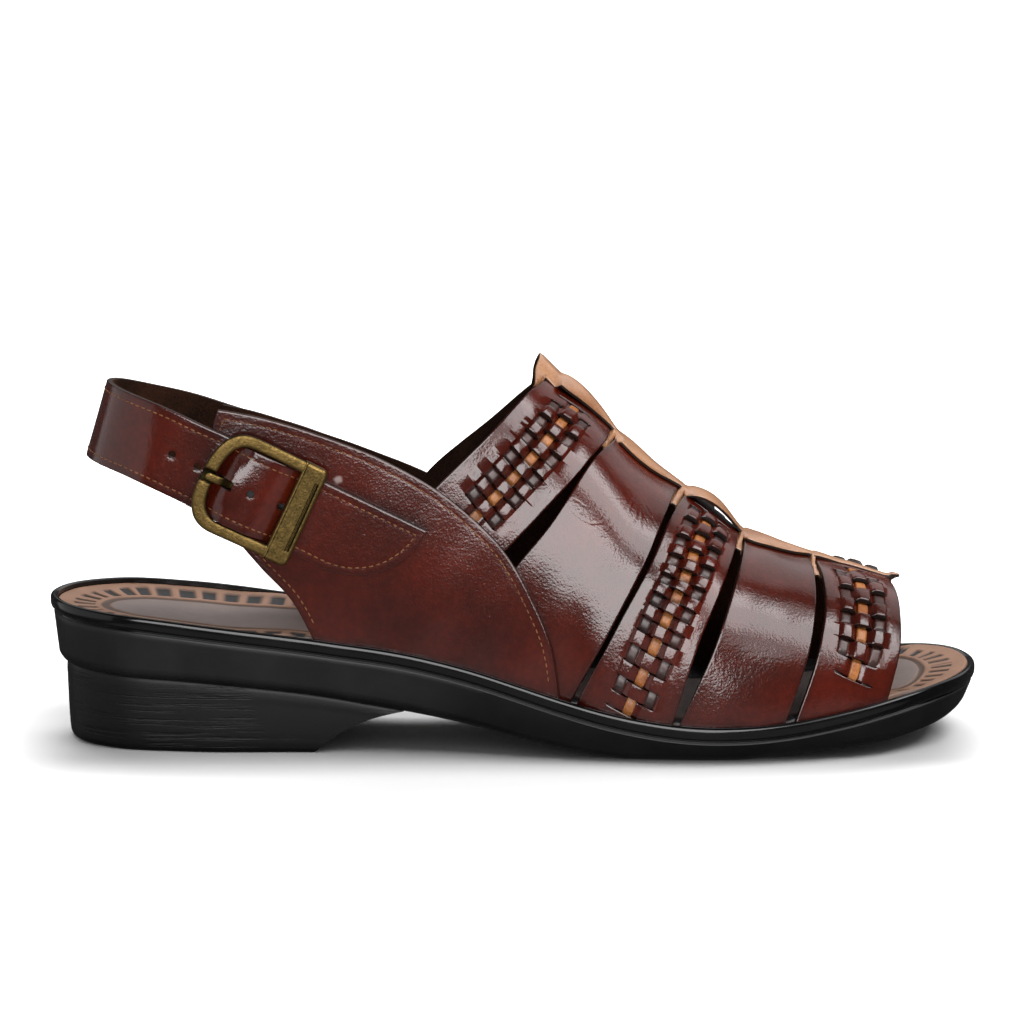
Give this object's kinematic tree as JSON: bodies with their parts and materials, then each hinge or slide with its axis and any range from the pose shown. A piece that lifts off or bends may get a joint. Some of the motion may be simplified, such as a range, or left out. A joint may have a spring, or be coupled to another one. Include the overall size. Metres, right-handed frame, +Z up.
{
  "type": "fisherman sandal",
  "caption": "right-foot leather fisherman sandal with woven vamp bands, open toe, buckled heel strap and black moulded sole with a low heel",
  "frame": {"origin": "on the floor, under the middle of the shoe's bounding box", "axes": "+X towards the toe, +Y towards the inner side of the foot, +Z up; the buckle is on the outer side, at -Y"},
  "size_m": [0.29, 0.0939, 0.1194],
  "materials": {
    "sole": "semi-gloss black moulded sole with a polished rim",
    "footbed": "matt brown leather with dark embossing",
    "upper_leather": "burnished red-brown leather with dark edges",
    "buckle": "antique brass, worn brighter on its edges"
  },
  "bodies": {
    "root": {"outsole": "sole", "heel": "sole", "insole": "footbed", "upper": "upper_leather", "heel_strap": "upper_leather", "buckle_frame": "buckle", "buckle_prong": "buckle", "buckle_tab": "upper_leather"}
  },
  "joints": []
}
